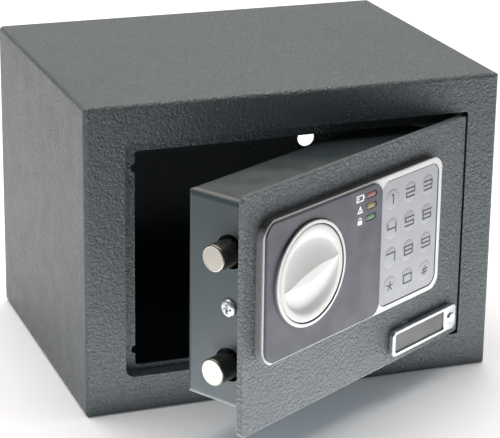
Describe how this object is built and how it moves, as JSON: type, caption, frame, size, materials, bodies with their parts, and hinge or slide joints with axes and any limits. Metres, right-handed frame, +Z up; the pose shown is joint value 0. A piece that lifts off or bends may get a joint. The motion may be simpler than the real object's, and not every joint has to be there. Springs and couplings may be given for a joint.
{
  "type": "in room safe",
  "caption": "Small electronic steel safe with a hinged door, bolts thrown by a knob, a keypad panel, a battery compartment and anchor holes in its back and floor.",
  "frame": {"origin": "centre of the face that the cabinet rests on", "axes": "+Z up, the door's face looks along -Y, +X towards the hinge side"},
  "size_m": [0.23, 0.2682, 0.168],
  "materials": {
    "case_paint": "hammered powder coat",
    "door_paint": "hammered powder coat",
    "tray_paint": "smooth satin enamel",
    "silver_plastic": "silver moulding",
    "fascia_plastic": "fine matt",
    "keypad_plastic": "satin",
    "lens_red": "clear tinted",
    "lens_yellow": "clear tinted",
    "lens_green": "clear tinted",
    "zinc_steel": "zinc plated",
    "nickel": "satin nickel",
    "chrome": "bright",
    "lock_brass": "turned",
    "board": "solder mask",
    "black_plastic": "fine matt",
    "coil_copper": "enamelled wire",
    "cell_wrap": "shrink wrap",
    "button_red": "satin",
    "cable": "insulation"
  },
  "bodies": {
    "cabinet": {"casing": "case_paint", "back_panel": "case_paint", "door_frame": "case_paint", "hinge_bushes": "lock_brass"},
    "door": {"door_plate": "door_paint", "door_tray": "tray_paint", "hinge_brackets": "tray_paint", "hinge_pins": "case_paint", "tray_screws": "zinc_steel", "panel_bezel": "silver_plastic", "fascia": "fascia_plastic", "keypad_sheet": "keypad_plastic", "knob_ring": "silver_plastic", "led_red": "lens_red", "led_yellow": "lens_yellow", "led_green": "lens_green", "circuit_board": "board", "key_switches": "black_plastic", "buzzer": "black_plastic", "panel_screws": "zinc_steel", "lock_chassis": "zinc_steel", "guide_posts": "zinc_steel", "solenoid_frame": "zinc_steel", "solenoid_coil": "coil_copper", "plunger_spring": "zinc_steel", "battery_box": "black_plastic", "battery_cells": "cell_wrap", "battery_contacts": "zinc_steel", "battery_frame": "black_plastic", "lock_barrel": "chrome", "badge_pivot": "chrome", "wiring": "cable"},
    "knob": {"knob_grip": "silver_plastic", "knob_spindle": "zinc_steel", "crank_arm": "zinc_steel"},
    "bolts": {"bolt_carriage": "zinc_steel", "locking_bolts": "nickel"},
    "plunger": {"solenoid_plunger": "zinc_steel"},
    "reset": {"reset_button": "button_red"},
    "battery_door": {"battery_cover": "black_plastic"},
    "key_lock": {"key_plug": "lock_brass", "lock_cam": "zinc_steel"},
    "badge_plate": {"badge": "chrome"},
    "button_1": {"key_1": "keypad_plastic"},
    "button_2": {"key_2": "keypad_plastic"},
    "button_3": {"key_3": "keypad_plastic"},
    "button_4": {"key_4": "keypad_plastic"},
    "button_5": {"key_5": "keypad_plastic"},
    "button_6": {"key_6": "keypad_plastic"},
    "button_7": {"key_7": "keypad_plastic"},
    "button_8": {"key_8": "keypad_plastic"},
    "button_9": {"key_9": "keypad_plastic"},
    "button_star": {"key_star": "keypad_plastic"},
    "button_0": {"key_0": "keypad_plastic"},
    "button_hash": {"key_hash": "keypad_plastic"}
  },
  "joints": [
    {"name": "door_hinge", "type": "hinge", "parent": "cabinet", "child": "door", "pos_m": [0.0921, -0.08465, 0.084], "axis": [0, 0, 1], "range_deg": [-30, 60]},
    {"name": "knob_turn", "type": "hinge", "parent": "door", "child": "knob", "pos_m": [-0.02177, -0.16442, 0.0976], "axis": [-0.5, 0.866, 0], "range_deg": [0, 80]},
    {"name": "bolt_slide", "type": "slide", "parent": "door", "child": "bolts", "axis": [0.866, 0.5, 0], "range_m": [0, 0.0128]},
    {"name": "plunger_lift", "type": "slide", "parent": "door", "child": "plunger", "axis": [0, 0, 1], "range_m": [0, 0.004], "deforming": ["plunger_spring"]},
    {"name": "reset_press", "type": "slide", "parent": "door", "child": "reset", "axis": [0.5, -0.866, 0], "range_m": [0, 0.0015], "stiffness_N_per_m": 600},
    {"name": "battery_cover_swing", "type": "hinge", "parent": "door", "child": "battery_door", "pos_m": [0.02939, -0.07022, 0.05], "axis": [-0.866, -0.5, 0], "range_deg": [0, 95]},
    {"name": "emergency_key_turn", "type": "hinge", "parent": "door", "child": "key_lock", "pos_m": [0.04765, -0.10587, 0.037], "axis": [-0.5, 0.866, 0], "range_deg": [0, 90]},
    {"name": "badge_swing", "type": "hinge", "parent": "door", "child": "badge_plate", "pos_m": [0.08682, -0.09711, 0.03475], "axis": [0.5, -0.866, 0], "range_deg": [0, 24]},
    {"name": "press_1", "type": "slide", "parent": "door", "child": "button_1", "axis": [-0.5, 0.866, 0], "range_m": [0, 0.0005], "stiffness_N_per_m": 1600},
    {"name": "press_2", "type": "slide", "parent": "door", "child": "button_2", "axis": [-0.5, 0.866, 0], "range_m": [0, 0.0005], "stiffness_N_per_m": 1600},
    {"name": "press_3", "type": "slide", "parent": "door", "child": "button_3", "axis": [-0.5, 0.866, 0], "range_m": [0, 0.0005], "stiffness_N_per_m": 1600},
    {"name": "press_4", "type": "slide", "parent": "door", "child": "button_4", "axis": [-0.5, 0.866, 0], "range_m": [0, 0.0005], "stiffness_N_per_m": 1600},
    {"name": "press_5", "type": "slide", "parent": "door", "child": "button_5", "axis": [-0.5, 0.866, 0], "range_m": [0, 0.0005], "stiffness_N_per_m": 1600},
    {"name": "press_6", "type": "slide", "parent": "door", "child": "button_6", "axis": [-0.5, 0.866, 0], "range_m": [0, 0.0005], "stiffness_N_per_m": 1600},
    {"name": "press_7", "type": "slide", "parent": "door", "child": "button_7", "axis": [-0.5, 0.866, 0], "range_m": [0, 0.0005], "stiffness_N_per_m": 1600},
    {"name": "press_8", "type": "slide", "parent": "door", "child": "button_8", "axis": [-0.5, 0.866, 0], "range_m": [0, 0.0005], "stiffness_N_per_m": 1600},
    {"name": "press_9", "type": "slide", "parent": "door", "child": "button_9", "axis": [-0.5, 0.866, 0], "range_m": [0, 0.0005], "stiffness_N_per_m": 1600},
    {"name": "press_star", "type": "slide", "parent": "door", "child": "button_star", "axis": [-0.5, 0.866, 0], "range_m": [0, 0.0005], "stiffness_N_per_m": 1600},
    {"name": "press_0", "type": "slide", "parent": "door", "child": "button_0", "axis": [-0.5, 0.866, 0], "range_m": [0, 0.0005], "stiffness_N_per_m": 1600},
    {"name": "press_hash", "type": "slide", "parent": "door", "child": "button_hash", "axis": [-0.5, 0.866, 0], "range_m": [0, 0.0005], "stiffness_N_per_m": 1600}
  ],
  "couplings": [
    {"joint": "knob_turn", "follows": "bolt_slide", "rad_per_m": 109}
  ]
}
